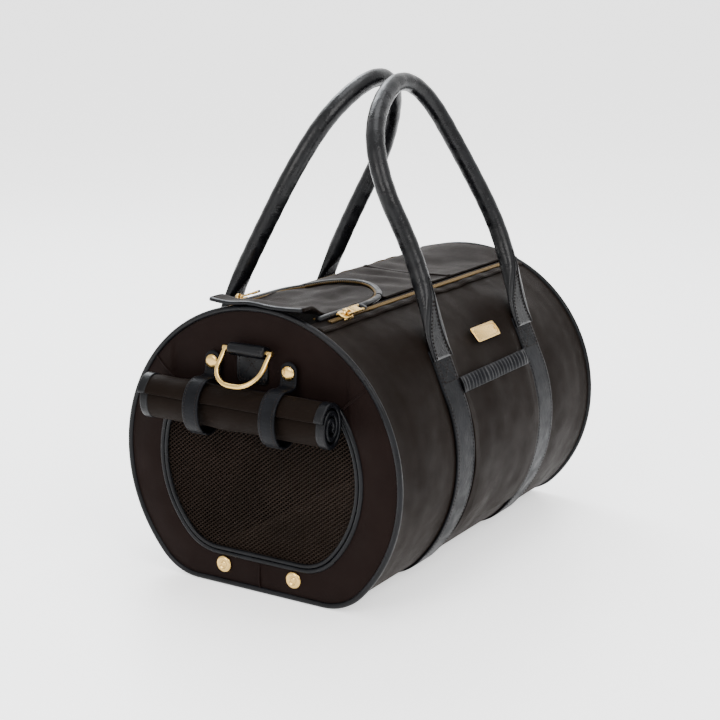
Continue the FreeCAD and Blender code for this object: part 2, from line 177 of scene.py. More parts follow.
def cloth(name, mode, dark, light, pitch=0.0011, sheen=0.02, roughness=0.6, strength=0.22):
    """Woven cloth with uneven colour and a soft sheen."""
    made, tree, shader = material(name, dark, roughness)
    colour = ramp(tree, blotches(tree, 22.0, 5.0), dark, light)
    tree.links.new(colour, shader.inputs["Base Color"])
    rough = ramp(tree, blotches(tree, 60.0), roughness - 0.05, roughness + 0.06)
    tree.links.new(rough, shader.inputs["Roughness"])
    shader.inputs["Specular IOR Level"].default_value = 0.05
    shader.inputs["Specular Tint"].default_value = (1.0, 0.8, 0.7, 1)
    shader.inputs["Sheen Weight"].default_value = sheen
    shader.inputs["Sheen Roughness"].default_value = 0.35
    shader.inputs["Sheen Tint"].default_value = (0.9, 0.72, 0.62, 1)
    threads = maths(tree, "MULTIPLY", weave(tree, mode, pitch), 0.5)
    height = maths(tree, "ADD", threads, blotches(tree, 260.0))
    bump(tree, shader, height, strength)
    return made


def leather(name, dark, light, cell=620.0, roughness=0.34, shine=0.13):
    """Grained leather, lighter where it is rubbed."""
    made, tree, shader = material(name, dark, roughness)
    colour = ramp(tree, blotches(tree, 45.0, 6.0), dark, light, 0.35, 0.75)
    tree.links.new(colour, shader.inputs["Base Color"])
    rough = ramp(tree, blotches(tree, 90.0), roughness - 0.09, roughness + 0.12)
    tree.links.new(rough, shader.inputs["Roughness"])
    shader.inputs["Specular IOR Level"].default_value = shine
    shader.inputs["Coat Weight"].default_value = 0.03
    shader.inputs["Coat Roughness"].default_value = 0.32
    shader.inputs["Coat Tint"].default_value = (0.8, 0.88, 1.0, 1)
    grain = add_node(tree, "ShaderNodeTexVoronoi", Vector=place(tree), Scale=cell)
    grain.feature = "SMOOTH_F1"
    creases = maths(tree, "MULTIPLY", blotches(tree, 150.0), 1.6)
    height = maths(tree, "ADD", grain.outputs["Distance"], creases)
    bump(tree, shader, height, 0.42)
    return made


def metal(name, colour, roughness):
    """Plated metal with fine rubbing marks."""
    made, tree, shader = material(name, colour, roughness, 1.0)
    stretch = add_node(tree, "ShaderNodeMapping", Vector=place(tree), Scale=(1, 6, 1)).outputs[0]
    marks = add_node(tree, "ShaderNodeTexNoise", Vector=stretch, Scale=420.0, Detail=4.0).outputs["Fac"]
    tree.links.new(ramp(tree, marks, roughness * 0.7, roughness * 1.5), shader.inputs["Roughness"])
    warm = tuple(c * 0.82 for c in colour)
    tree.links.new(ramp(tree, blotches(tree, 70.0), warm, colour), shader.inputs["Base Color"])
    bump(tree, shader, marks, 0.06, 0.0001)
    return made


NYLON = cloth("nylon_wall", "wall", (0.0026, 0.0015, 0.0010), (0.0036, 0.0022, 0.0015))
NYLON_END = cloth("nylon_panel", "panel", (0.0042, 0.0022, 0.0020), (0.0058, 0.0032, 0.0029))
NYLON_TOP = cloth("nylon_top", "top", (0.0026, 0.0015, 0.0012), (0.0038, 0.0024, 0.0019))
TAPE = cloth("zip_tape_weave", "wall", (0.0020, 0.0015, 0.0013), (0.004, 0.003, 0.0027), 0.0016, 0.02)
LINING = cloth("lining_weave", "wall", (0.003, 0.0022, 0.002), (0.006, 0.0045, 0.004), 0.0016, 0.02)
NET = cloth("net_thread", "panel", (0.010, 0.0068, 0.0050), (0.019, 0.013, 0.010), 0.0009, 0.05, 0.5)
THREAD = cloth("stitch_thread", "wall", (0.007, 0.0055, 0.005), (0.014, 0.011, 0.010), 0.0006, 0.05, 0.5)
FLEECE = cloth("fleece", "top", (0.006, 0.0038, 0.0026), (0.013, 0.0085, 0.006), 0.004, 0.1, 0.9, 0.9)
ROPE = cloth("rope_fibre", "wall", (0.35, 0.30, 0.22), (0.5, 0.45, 0.36), 0.003, 0.2, 0.8, 0.8)
LEATHER = leather("black_leather", (0.0012, 0.0013, 0.0018), (0.0036, 0.0039, 0.0052))
HANDLE_LEATHER = leather("handle_leather", (0.0012, 0.0013, 0.0017), (0.0038, 0.0040, 0.0050),
                         620.0, 0.28, 0.2)
# Strap leather: its lighter, greyer base colour is painted sheen, standing in for the light the straps
# catch.
STRAP_LEATHER_PAINTED_SHEEN = leather("strap_leather", (0.0016, 0.0018, 0.0025), (0.0050, 0.0054, 0.0070),
                        700.0, 0.42, 0.06)
BRASS = metal("pale_brass", (0.68, 0.45, 0.15), 0.22)
TEETH = metal("zip_brass", (0.13, 0.085, 0.035), 0.36)
STEEL = metal("spring_steel", (0.42, 0.42, 0.43), 0.4)
BOARD = cloth("base_board_cover", "top", (0.004, 0.003, 0.003), (0.008, 0.0065, 0.006), 0.002, 0.02, 0.8)

# Each finish's slot, where it isn't nylon.
SLOTS = {finish.name: "leather" for finish in (LEATHER, HANDLE_LEATHER, STRAP_LEATHER_PAINTED_SHEEN)}
SLOTS.update({BRASS.name: "brass", TEETH.name: "brass", ROPE.name: "rope"})

for node, finish in {
    "near_zip_tape": TAPE, "far_zip_tape": TAPE, "near_lining": LINING, "far_lining": LINING,
    "base_board": BOARD, "front_hoop": STEEL, "rear_hoop": STEEL, "front_piping": LEATHER,
    "rear_piping": LEATHER, "front_d_ring": BRASS, "rear_d_ring": BRASS, "roll_strap_studs": BRASS,
}.items():
    mesh = frame["nodes"][node].data
    mesh.materials.clear()
    mesh.materials.append(finish)
    mesh.shade_smooth()


# ---- Mesh helpers, in millimetres ----
def new_object(name, verts, faces, finish):
    """Object in the scene from vertices in millimetres."""
    data = bpy.data.meshes.new(name)
    data.from_pydata((np.asarray(verts, float) * MM).tolist(), [], faces)
    data.validate()
    data.materials.append(finish)
    made = bpy.data.objects.new(name, data)
    bpy.context.scene.collection.objects.link(made)
    return made


def piece(name, verts, faces, finish, body="root", slot=None, replaces=(), solid=0.0, bevel=0.0,
          smooth=True, joint=None):
    """One object from vertices and faces, riding on a body, or baked in place unparented where a joint is
    given.
    """
    made = new_object(name, verts, faces, finish)
    work = bmesh.new()
    work.from_mesh(made.data)
    bmesh.ops.remove_doubles(work, verts=work.verts, dist=1e-6)
    bmesh.ops.recalc_face_normals(work, faces=work.faces)
    work.to_mesh(made.data)
    work.free()
    if solid:
        shell = made.modifiers.new("solid", "SOLIDIFY")
        shell.thickness = solid * MM
        shell.offset = 0.0
    if bevel:
        edge = made.modifiers.new("bevel", "BEVEL")
        edge.width = bevel * MM
        edge.segments = 3
        edge.limit_method = "ANGLE"
    settle(made)
    if smooth:
        made.data.shade_smooth()
    if joint:
        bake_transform(made)
    else:
        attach(made, body)
    if replaces:
        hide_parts(*replaces)
    return made


def settle(made):
    """Applies the modifiers, so that nothing is left on the piece."""
    if not made.modifiers:
        return
    graph = bpy.context.evaluated_depsgraph_get()
    data = bpy.data.meshes.new_from_object(made.evaluated_get(graph))
    made.modifiers.clear()
    made.data = data


def grid(rows, columns, wrap=False):
    """Quads of a grid whose vertices run row by row."""
    last = columns if wrap else columns - 1
    return [(i * columns + j, i * columns + (j + 1) % columns, (i + 1) * columns + (j + 1) % columns,
             (i + 1) * columns + j) for i in range(rows - 1) for j in range(last)]


def resample(path, step):
    """Points at even distances along a polyline."""
    path = np.asarray(path, float)
    run = np.concatenate([[0], np.cumsum(np.linalg.norm(np.diff(path, axis=0), axis=1))])
    at = np.linspace(0, run[-1], max(2, int(round(run[-1] / step)) + 1))
    return np.stack([np.interp(at, run, path[:, k]) for k in range(path.shape[1])], axis=1)


def rounded(points, rounds=4):
    """Corner-cut curve through a control polygon, ends kept."""
    points = np.asarray(points, float)
    for _ in range(rounds):
        cut = np.empty((2 * len(points) - 2, points.shape[1]))
        cut[0::2] = 0.75 * points[:-1] + 0.25 * points[1:]
        cut[1::2] = 0.25 * points[:-1] + 0.75 * points[1:]
        points = np.concatenate([points[:1], cut[1:-1], points[-1:]])
    return points


def unit(vectors):
    vectors = np.asarray(vectors, float)
    return vectors / np.maximum(np.linalg.norm(vectors, axis=-1, keepdims=True), 1e-9)


def tangents(path, closed=False):
    if closed:
        return unit(np.roll(path, -1, axis=0) - np.roll(path, 1, axis=0))
    return unit(np.gradient(np.asarray(path, float), axis=0))


def sweep(path, side, out, section, closed=False):
    """Section points (a, b) swept along path, a along side and b along out."""
    path = np.asarray(path, float)
    count = len(path)
    side = np.broadcast_to(np.asarray(side, float), path.shape)
    out = np.broadcast_to(np.asarray(out, float), path.shape)
    section = np.asarray(section, float)
    if section.ndim == 2:
        section = np.broadcast_to(section, (count,) + section.shape)
    m = section.shape[1]
    verts = path[:, None] + section[:, :, :1] * side[:, None] + section[:, :, 1:] * out[:, None]
    verts = verts.reshape(-1, 3)
    faces = grid(count, m, True)
    if closed:
        last = (count - 1) * m
        faces += [(last + j, last + (j + 1) % m, (j + 1) % m, j) for j in range(m)]
    else:
        faces += [tuple(range(m)), tuple(range((count - 1) * m, count * m))]
    return verts, faces


def oval(width, height, power=2.0, count=20):
    """Superellipse section; a higher power is squarer."""
    a = np.linspace(0, 2 * math.pi, count, endpoint=False)
    c, s = np.cos(a), np.sin(a)
    return np.stack([width / 2 * np.sign(c) * np.abs(c) ** (2 / power),
                     height / 2 * np.sign(s) * np.abs(s) ** (2 / power)], axis=1)


def join(parts):
    """Several (vertices, faces) pairs as one."""
    verts = []
    faces = []
    count = 0
    for part_verts, part_faces in parts:
        verts.append(np.asarray(part_verts, float))
        faces += [tuple(i + count for i in f) for f in part_faces]
        count += len(part_verts)
    return np.concatenate(verts), faces


def stitches(path, out, pitch=3.4, length=2.4, radius=0.42):
    """Short spindles of thread lying along a path."""
    path = np.asarray(path, float)
    out = np.broadcast_to(np.asarray(out, float), path.shape)
    both = resample(np.concatenate([path, out], axis=1), pitch / 2)
    both = both[1::2]
    if len(both) < 2:
        return np.zeros((0, 3)), []
    along = tangents(both[:, :3])
    up = unit(both[:, 3:])
    across = np.cross(along, up)
    parts = []
    ring = [(math.cos(a), math.sin(a)) for a in np.arange(5) * 2 * math.pi / 5]
    faces = []
    for k in range(5):
        n = (k + 1) % 5
        faces += [(0, 1 + k, 1 + n), (1 + k, 6 + k, 6 + n, 1 + n), (6 + k, 11, 6 + n)]
    for p, t, u, c in zip(both[:, :3], along, up, across):
        rings = [p + t * d + radius * (a * c + b * u) for d in (-length / 5, length / 5) for a, b in ring]
        sunk = p - u * radius * 0.8
        parts.append(([sunk - t * length / 2] + rings + [sunk + t * length / 2], faces))
    return join(parts)


def lathe(centre, axis, profile, count=32):
    """Turned shape: profile points are (radius, height along the axis)."""
    axis = unit(axis)
    helper = np.array([0.0, 0.0, 1.0]) if abs(axis[2]) < 0.9 else np.array([1.0, 0.0, 0.0])
    one = unit(np.cross(axis, helper))
    two = np.cross(axis, one)
    angle = np.linspace(0, 2 * math.pi, count, endpoint=False)
    verts = []
    for r, h in profile:
        middle = np.asarray(centre) + axis * h
        verts += [middle + r * (math.cos(a) * one + math.sin(a) * two) for a in angle]
    faces = grid(len(profile), count, True)
    faces += [tuple(range(count)), tuple(range((len(profile) - 1) * count, len(profile) * count))]
    return verts, faces


def ripple(x, y, z, size, amount):
    """Smooth noise of a given feature size."""
    return amount * noise.noise(Vector((x / size, y / size, z / size)))


# ---- The bag's section ----
def section(s, side=1, grow=0.0):
    """Points (y, z) and outward directions at distances s down the section from its top centre."""
    s = np.asarray(s, float)
    phi = np.where(s < SIDE_RUN, math.pi / 2 - s / BAG_R,
                   np.maximum(CORNER_TURN - (s - SIDE_RUN) / CORNER_R, -math.pi / 2))
    ny, nz = np.cos(phi), np.sin(phi)
    big = s < SIDE_RUN
    flat = np.maximum(s - SIDE_RUN - CORNER_RUN, 0)
    y = np.where(big, BAG_R * ny, CORNER_Y + CORNER_R * ny - flat)
    z = np.where(big, CENTRE_Z + BAG_R * nz, CORNER_Z + CORNER_R * nz)
    return side * (y + grow * ny), z + grow * nz, side * ny, nz


LEAVE = (math.atan2(HINGE_Z - CENTRE_Z, HINGE_Y)
         - math.acos(BAG_R / math.hypot(HINGE_Y, HINGE_Z - CENTRE_Z)))
HINGE_PHI = math.atan2(HINGE_Z - CENTRE_Z, HINGE_Y)


def shoulder(s):
    """How far the tight straps pull the wall out of round below the handles."""
    phi = math.pi / 2 - np.asarray(s, float) / BAG_R
    pulled = BAG_R / np.cos(np.clip(phi, LEAVE, HINGE_PHI) - LEAVE) - BAG_R
    fade = np.clip((math.radians(64) - phi) / (math.radians(64) - HINGE_PHI), 0, 1)
    return pulled * fade * fade * (3 - 2 * fade)


def near_strap(x):
    """1 on a strap's line, falling to 0 away from it."""
    return max(math.exp(-((x - c) / 48.0) ** 2) for c in STRAP_X)


def on_strap(x):
    return max(min(1.0, max(0.0, (STRAP_W / 2 + 10 - abs(x - c)) / 10)) for c in STRAP_X)


def wall_swell(x, s, side):
    """The wall's departure from the plain section: shoulders, soft folds and puckers by the seams."""
    y, z, _, _ = (float(v) for v in section(s, side))
    end = min(1.0, max(0.0, (HALF - abs(x)) / 34.0))
    base = min(1.0, max(0.0, (SIDE_RUN + 8 - s) / 60.0))
    free = end * base * (1 - on_strap(x))
    folds = ripple(x, 0.5 * y, 0.45 * z, 52.0, 2.4) + ripple(x, y, z, 19.0, 0.35)
    pucker = 0.8 * math.sin(x / 3.1 + 2 * noise.noise(Vector((x / 30, 0, side)))) * (1 - end) * base
    return float(shoulder(s)) * near_strap(x) * end + folds * free + 0.35 * pucker


def wall_point(x, s, side, above):
    """Point over the swollen wall and the outward direction there."""
    y, z, ny, nz = (float(v) for v in section(s, side))
    d = wall_swell(x, s, side) + above
    return (x, y + d * ny, z + d * nz), (0, ny, nz)


def body_fabric():
    """Side walls and base as one soft shell between the zips."""
    start = BAG_R * math.asin(TAPE_OUT_Y / BAG_R) - 2
    down = np.linspace(start, HALF_RUN, 120)
    xs = np.linspace(-HALF + 1.5, HALF - 1.5, 170)
    verts = []
    for x in xs:
        for side, run in ((-1, down), (1, down[-2::-1])):
            verts += [wall_point(x, s, side, -0.8)[0] for s in run]
    piece("body_fabric", verts, grid(len(xs), 2 * len(down) - 1), NYLON, solid=1.4,
          replaces=("base_panel", "near_side_wall", "far_side_wall"))
    for name, side in SIDES.items():
        points = [wall_point(x, start + 3.2, side, 1.0 + 0.5 * math.sin(x / 5.0))
                  for x in np.linspace(-HALF + 4, HALF - 4, 120)]
        path, outs = (np.array(part) for part in zip(*points))
        across = np.cross((-side, 0, 0), outs)
        piece(name + "_zip_welt", *sweep(path, across, outs, oval(6.5, 1.8, 3, 12)), NYLON)
        line = path + outs * 0.9 + across * 1.6
        piece(name + "_welt_stitching", *stitches(line, outs), THREAD)


# ---- End panels ----
def outline_radius(angle, radius, corner, base, ceiling, centre_z):
    """Distance from the panel's middle to a section outline, by polar angle."""
    corner_z = base + corner
    corner_y = math.sqrt((radius - corner) ** 2 - (CENTRE_Z - corner_z) ** 2)
    turn = math.atan2(corner_z - CENTRE_Z, corner_y)
    points = []
    for phi in np.linspace(math.pi / 2, turn, 90):
        points.append((radius * math.cos(phi), CENTRE_Z + radius * math.sin(phi)))
    for phi in np.linspace(turn, -math.pi / 2, 30):
        points.append((corner_y + corner * math.cos(phi), corner_z + corner * math.sin(phi)))
    for y in np.linspace(corner_y, 0, 20):
        points.append((y, base))
    points = np.array(points)
    at = np.arctan2(points[:, 1] - centre_z, points[:, 0])
    reach = np.hypot(points[:, 0], points[:, 1] - centre_z)
    order = np.argsort(at)
    folded = np.where(np.cos(angle) >= 0, angle, np.pi - angle)
    folded = (folded + np.pi) % (2 * np.pi) - np.pi
    found = np.interp(folded, at[order], reach[order])
    if ceiling:
        up = np.sin(angle)
        limit = np.where(up > 1e-6, (ceiling - centre_z) / np.maximum(up, 1e-6), 1e9)
        found = np.minimum(found, limit)
    return found


WINDOW_MID_Z = 106.0
WINDOW_TOP_Z = 178.0


def window_radius(angle, grow=0.0):
    return outline_radius(angle, 100.0 + grow, 42.0 + grow, 33.0 - grow, WINDOW_TOP_Z + grow, WINDOW_MID_Z)


def end_panel(name, s):
    """Padded end panel with its seams, net window and bound window edge."""
    angles = np.linspace(-math.pi, math.pi, 300, endpoint=False)
    inner = window_radius(angles)
    outer = outline_radius(angles, BAG_R - 0.6, CORNER_R - 0.6, BASE_Z + 0.6, None, WINDOW_MID_Z)
    verts = []
    rows = 26
    for k in range(rows):
        u = k / (rows - 1)
        for a, r0, r1 in zip(angles, inner, outer):
            r = r0 + (r1 - r0) * u
            y, z = r * math.cos(a), WINDOW_MID_Z + r * math.sin(a)
            puff = 2.4 * math.sin(math.pi * u) ** 0.7 * min(1.0, (r1 - r0) / 40)
            puff *= 0.25 if z > WINDOW_TOP_Z - 40 and abs(y) < 90 else 1.0
            puff += ripple(y, z, s * 40, 30.0, 1.2) * math.sin(math.pi * u)
            verts.append((s * (HALF - 1.0 + puff), y, z))
    piece(name + "_panel_fabric", verts, grid(rows, len(angles), True), NYLON_END, solid=1.6,
          replaces=(name + "_panel",))
    seams = []
    for turn in (math.radians(-90.5), math.radians(41), math.radians(139)):
        line = []
        r0 = float(window_radius(turn, 5))
        r1 = float(outline_radius(turn, BAG_R, CORNER_R, BASE_Z, None, WINDOW_MID_Z))
        for u in np.linspace(0.04, 0.96, 16):
            r = r0 + (r1 - r0) * u
            x = s * (HALF + 0.1 + 2.2 * math.sin(math.pi * u) ** 0.7 * 0.9)
            line.append((x, r * math.cos(turn), WINDOW_MID_Z + r * math.sin(turn)))
        side = (0, -math.sin(turn), math.cos(turn))
        seams.append(sweep(line, side, (s, 0, 0), oval(2.2, 1.4, 2, 8)))
    piece(name + "_panel_seams", *join(seams), NYLON_END)
    net(name, s)
    for label, grow, radius in (("outer", 3.2, 2.1), ("inner", -0.9, 1.9)):
        loop = [(s * (HALF + 0.9), float(window_radius(a, grow)) * math.cos(a),
                 WINDOW_MID_Z + float(window_radius(a, grow)) * math.sin(a)) for a in angles]
        loop = resample(loop + loop[:1], 2.6)[:-1]
        ahead = tangents(loop, True)
        side = np.cross(ahead, (s, 0, 0))
        stands_for = (name + "_window_binding",) if label == "outer" else ()
        bead = oval(2 * radius, 2 * radius, 2, 12)
        piece(f"{name}_binding_{label}", *sweep(loop, side, (s, 0, 0), bead, True),
              LEATHER, replaces=stands_for)


def net(name, s):
    """Open diamond net, held in the window."""
    cell = 4.6
    verts = []
    index = {}
    quads = []
    for i in range(-60, 61):
        for j in range(-60, 61):
            corners = [(i, j), (i + 1, j), (i + 1, j + 1), (i, j + 1)]
            places = [((a - b) * cell / 2, WINDOW_MID_Z + (a + b) * cell / 2 * 0.8) for a, b in corners]
            keep = all(math.hypot(y, z - WINDOW_MID_Z)
                       < float(window_radius(math.atan2(z - WINDOW_MID_Z, y), 1.5)) for y, z in places)
            if not keep:
                continue
            quad = []
            for key, (y, z) in zip(corners, places):
                if key not in index:
                    index[key] = len(verts)
                    bow = 3.0 * math.cos(y / 68) * math.cos((z - WINDOW_MID_Z) / 52)
                    verts.append((s * (HALF - 1.2 - max(0.0, bow)), y, z))
                quad.append(index[key])
            quads.append(tuple(quad))
    made = new_object(name + "_net", verts, quads, NET)
    wire = made.modifiers.new("wire", "WIREFRAME")
    wire.thickness = 1.3 * MM
    wire.use_even_offset = False
    settle(made)
    made.data.shade_smooth()
    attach(made, "root")
    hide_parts(name + "_mesh")


# ---- Leather straps and handles ----
def lean(side, x, w, out=0.0):
    """Point w up the handle's leaning plane from its hinge."""
    y = HINGE_Y - w * math.sin(LEAN) + out * math.cos(LEAN)
    return (x, side * y, HINGE_Z + w * math.cos(LEAN) + out * math.sin(LEAN))


def strap_line(grow):
    """Half of a body strap's path: base centre, up the wall and straight to the handle's hinge."""
    points = []
    for s in np.linspace(HALF_RUN, 0, 260):
        y, z, ny, nz = (float(v) for v in section(s, 1, grow))
        if math.atan2(nz, ny) > LEAVE:
            break
        points.append((y, z, ny, nz))
    y0, z0, ny, nz = points[-1]
    for k in range(1, 14):
        t = k / 13
        y = y0 + (HINGE_Y + 0.5 - y0) * t
        z = z0 + (HINGE_Z - 3 - z0) * t
        points.append((y, z, math.cos(LEAN), math.sin(LEAN)))
    return points


def body_straps():
    """Leather straps that run up both walls from under the bag, with edge and box stitching."""
    half = strap_line(1.3)
    for name, x in zip(ENDS, STRAP_X):
        path = [(x, -y, z) for y, z, _, _ in half[::-1]] + [(x, y, z) for y, z, _, _ in half[1:]]
        outs = [(0, -ny, nz) for _, _, ny, nz in half[::-1]] + [(0, ny, nz) for _, _, ny, nz in half[1:]]
        path = np.array(path)
        outs = np.array(outs)
        verts, faces = sweep(path, (1, 0, 0), outs, oval(STRAP_W, 2.2, 7, 24))
        verts[:, 2] = np.maximum(verts[:, 2], 0.15)
        piece(name + "_strap_leather", verts, faces, STRAP_LEATHER_PAINTED_SHEEN,
              replaces=(name + "_body_strap",))
        rows = []
        for edge in (-1, 1):
            keep = path[:, 2] > 24
            for part in (keep & (path[:, 1] < 0), keep & (path[:, 1] > 0)):
                line = path[part] + outs[part] * 1.15 + np.array((edge * (STRAP_W / 2 - 3), 0, 0))
                rows.append(stitches(line, outs[part]))
        piece(name + "_strap_stitching", *join(rows), THREAD, slot="leather")
        for label, side in SIDES.items():
            box_w = STRAP_W / 2 - 5
            marks = []
            out = np.array((0, side * math.cos(LEAN), math.sin(LEAN)))
            corners = [(-box_w, -34), (box_w, -34), (box_w, -11), (-box_w, -11)]
            at = [np.array(lean(side, x + a, w, 1.7)) for a, w in corners]
            for a, b in ((0, 1), (1, 2), (2, 3), (3, 0), (0, 2), (1, 3)):
                marks.append(stitches([at[a], at[b]], [out, out]))
            piece(f"{label}_{name}_box_stitch", *join(marks), THREAD, slot="leather")


HANDLES = {
    "near": ((-80.6, -13), (-80.6, 0), (-77, 16), (-72, 43), (-67, 88), (-77, 150), (-54, 205), (14, 243),
             (60, 226), (84, 158), (102, 90), (95, 43), (88, 16), (83.5, 0), (83.5, -13)),
    "far": ((-80.6, -13), (-80.6, 0), (-84, 16), (-86, 43), (-79, 90), (-67, 156), (-42, 212), (15, 247),
            (66, 226), (94, 160), (83, 94), (80, 43), (82, 16), (83.5, 0), (83.5, -13)),
}
GRIP_D = 17.0


def handles():
    """Rolled leather handles that flatten into the straps."""
    for name, side in SIDES.items():
        flat = resample(rounded(HANDLES[name]), 3.0)
        path = np.array([lean(side, x, w, 1.6) for x, w in flat])
        out = np.array((0, side * math.cos(LEAN), math.sin(LEAN)))
        ahead = tangents(path)
        across = unit(np.cross(out, ahead))
        run = np.concatenate([[0], np.cumsum(np.linalg.norm(np.diff(path, axis=0), axis=1))])
        to_end = np.minimum(run, run[-1] - run)
        f = np.clip((to_end - 16) / 50, 0, 1)
        f = f * f * (3 - 2 * f)
        rings = []
        lift = []
        for k, t in enumerate(f):
            uneven = 1 + noise.noise(Vector((run[k] / 30, side, 0)))
            wrinkle = 1 + 0.012 * math.sin(run[k] / 2.7) * t * uneven
            wide = (STRAP_W + (GRIP_D - STRAP_W) * t) * wrinkle
            thick = (2.6 + (GRIP_D - 2.6) * t ** 1.25) * wrinkle
            rings.append(oval(wide, thick, 6 - 4 * t, 28))
            lift.append(thick / 2)
        bend = ("root", name + "_handle", tuple(np.array(lean(side, 0, -11)) * MM),
                tuple(np.array(lean(side, 0, 26)) * MM))
        piece(name + "_handle_leather", *sweep(path, across, out, rings), HANDLE_LEATHER, joint=bend,
              replaces=(name + "_handle_cover", name + "_handle_flares"))
        inner = to_end > 44
        piece(name + "_handle_rope", *sweep(path[inner], across[inner], out, oval(10, 10, 2, 14)), ROPE,
              body=name + "_handle", replaces=(name + "_handle_core",))
        seams = []
        threads = []
        for start, stop, step in ((0, len(path), 1), (len(path) - 1, -1, -1)):
            order = [k for k in range(start, stop, step) if to_end[k] < 74][:40]
            order = [k for k in order if abs(k - start) < len(path) / 2]
            for edge in (-1, 1):
                line = []
                for k in order:
                    close = max(0.0, 1 - to_end[k] / 72) ** 0.8
                    wide = rings[k][:, 0].max()
                    a = edge * close * (wide - 2.2)
                    ratio = min(0.98, abs(a) / wide)
                    power = 6 - 4 * f[k]
                    b = lift[k] * (1 - ratio ** power) ** (1 / power)
                    line.append(path[k] + across[k] * a + out * (b + 0.15))
                line = np.array(line)
                seams.append(sweep(line, unit(np.cross(out, tangents(line))), out, oval(1.5, 1.1, 2, 8)))
                inset = line - np.array([across[k] * edge * 2.4 for k in order]) + out * 0.25
                threads.append(stitches(inset[: int(len(inset) * 0.72)], out))
        piece(name + "_handle_seams", *join(seams), LEATHER, joint=bend)
        piece(name + "_handle_stitching", *join(threads), THREAD, slot="leather", joint=bend)


# ---- Zips ----
def polar(side, x, across, radial, degrees=ZIP_DEG):
    """Point beside the zip: across it towards the side and radial from the section's centre."""
    a = math.radians(degrees)
    y = radial * math.sin(a) + across * math.cos(a)
    z = CENTRE_Z + radial * math.cos(a) - across * math.sin(a)
    return (x, side * y, z)


def tooth(centre, along, across, out, size):
    """One zip tooth: a small block with cut corners."""
    centre, along, across, out = (np.asarray(v, float) for v in (centre, along, across, out))
    ring = [(-1, -0.5), (-0.5, -1), (0.5, -1), (1, -0.5), (1, 0.5), (0.5, 1), (-0.5, 1), (-1, 0.5)]
    verts = []
    for level, shrink in ((0.0, 1.0), (0.7, 1.0), (1.0, 0.65)):
        for a, b in ring:
            verts.append(centre + along * a * size[0] / 2 * shrink + across * b * size[1] / 2 * shrink
                         + out * level * size[2])
    faces = grid(3, 8, True)
    faces += [tuple(range(8)), tuple(range(16, 24))]
    return verts, faces


def zips():
    """Two tooth rows on each zip and its slider."""
    chain_low, chain_high = box_mm("near_zip_chain")
    for name, side in SIDES.items():
        a = math.radians(ZIP_DEG)
        out = np.array((0, side * math.sin(a), math.cos(a)))
        across = np.array((0, side * math.cos(a), -math.sin(a)))
        teeth = []
        for k, x in enumerate(np.arange(chain_low[0] + 1, chain_high[0], 1.35)):
            row = 1 if k % 2 else -1
            seat = polar(side, x, row * 0.9, BAG_R + 0.1)
            teeth.append(tooth(seat, (1, 0, 0), across, out, (1.1, 2.6, 1.7)))
        piece(name + "_zip_teeth", *join(teeth), TEETH, smooth=False,
              replaces=(name + "_zip_chain",))
        slider(name, side, out, across)


def rounded_plate(centre, along, across, out, size, power=4.0, crown=0.3):
    """Plate with rounded corners and softened edges."""
    levels = ((0.0, 0.94), (0.18, 1.0), (0.8, 1.0), (1.0, 1 - crown * 0.25))
    rings = []
    for level, shrink in levels:
        ring = oval(size[0] * shrink, size[1] * shrink, power, 32)
        rings.append(np.asarray(centre) + ring[:, :1] * np.asarray(along) + ring[:, 1:] * np.asarray(across)
                     + np.asarray(out) * level * size[2])
    verts = np.concatenate(rings)
    faces = grid(len(levels), 32, True)
    faces += [tuple(range(32)), tuple(range(96, 128))]
    return verts, faces


def hollow_plate(centre, along, across, out, outer, inner, thick):
    """Flat frame: a rounded plate with a rounded hole."""
    rings = []
    for ring_size, level in ((outer, 0.0), (outer, 1.0), (inner, 1.0), (inner, 0.0)):
        ring = oval(ring_size[0], ring_size[1], 5, 32)
        shift = np.array((ring_size[2], 0.0))
        ring = ring + shift
        rings.append(np.asarray(centre) + ring[:, :1] * np.asarray(along) + ring[:, 1:] * np.asarray(across)
                     + np.asarray(out) * (level - 0.5) * thick)
    verts = np.concatenate(rings)
    faces = grid(4, 32, True)
    faces += [(96 + j, 96 + (j + 1) % 32, (j + 1) % 32, j) for j in range(32)]
    return verts, faces


def slider(name, side, out, across):
    """Brass slider, its bridge, and the pull tab with its leather end."""
    slide_low, slide_high = box_mm(name + "_zip_slider")
    x = (slide_low[0] + slide_high[0]) / 2
    roof = BAG_R + 2.7
    along = np.array((1.0, 0, 0))
    top = rounded_plate(polar(side, x, 0, roof), along, across, out, (16, 11, 1.9), 3.0)
    skirts = [rounded_plate(polar(side, x, e * 4.4, BAG_R + 0.5), along, across, out, (14, 1.8, 2.6), 4)
              for e in (-1, 1)]
    arch = [polar(side, x + 3.6 * math.cos(t), 0, roof + 1.4 + 4.6 * math.sin(t))
            for t in np.linspace(0, math.pi, 14)]
    bridge = sweep(arch, across, unit(np.cross(tangents(arch), across)), oval(3.0, 1.3, 3, 10))
    piece(name + "_slider_brass", *join([top, bridge] + skirts), BRASS, body=name + "_slider",
          replaces=(name + "_zip_slider",))
    level = roof + 3.5
    frame_parts = ((3.0, (8.6, 8.4, 0), (4.8, 4.6, 0)), (16.5, (19, 8.6, 0), (4.4, 4.2, 5.6)))
    yoke, plate = (hollow_plate(polar(side, x + ahead, 0, level), along, across, out, outer, inner, 1.5)
                   for ahead, outer, inner in frame_parts)
    piece(name + "_pull_brass", *join([yoke, plate]), BRASS, body=name + "_pull", bevel=0.25,
          smooth=True, replaces=(name + "_zip_pull",))
    tab = rounded_plate(polar(side, x + 26.6, 0, level - 1.1), along, across, out, (5.6, 7.4, 2.2), 4)
    piece(name + "_pull_tip", *tab, LEATHER, body=name + "_pull")


# ---- Lid, neck edge and head flap ----
def arc_x(y, depth=ARC_DEPTH, half=LID_HALF):
    """Rear edge of the neck cut-out at a distance y from the middle."""
    return ARC_X + depth * math.sqrt(max(0.0, 1 - (y / half) ** 2))


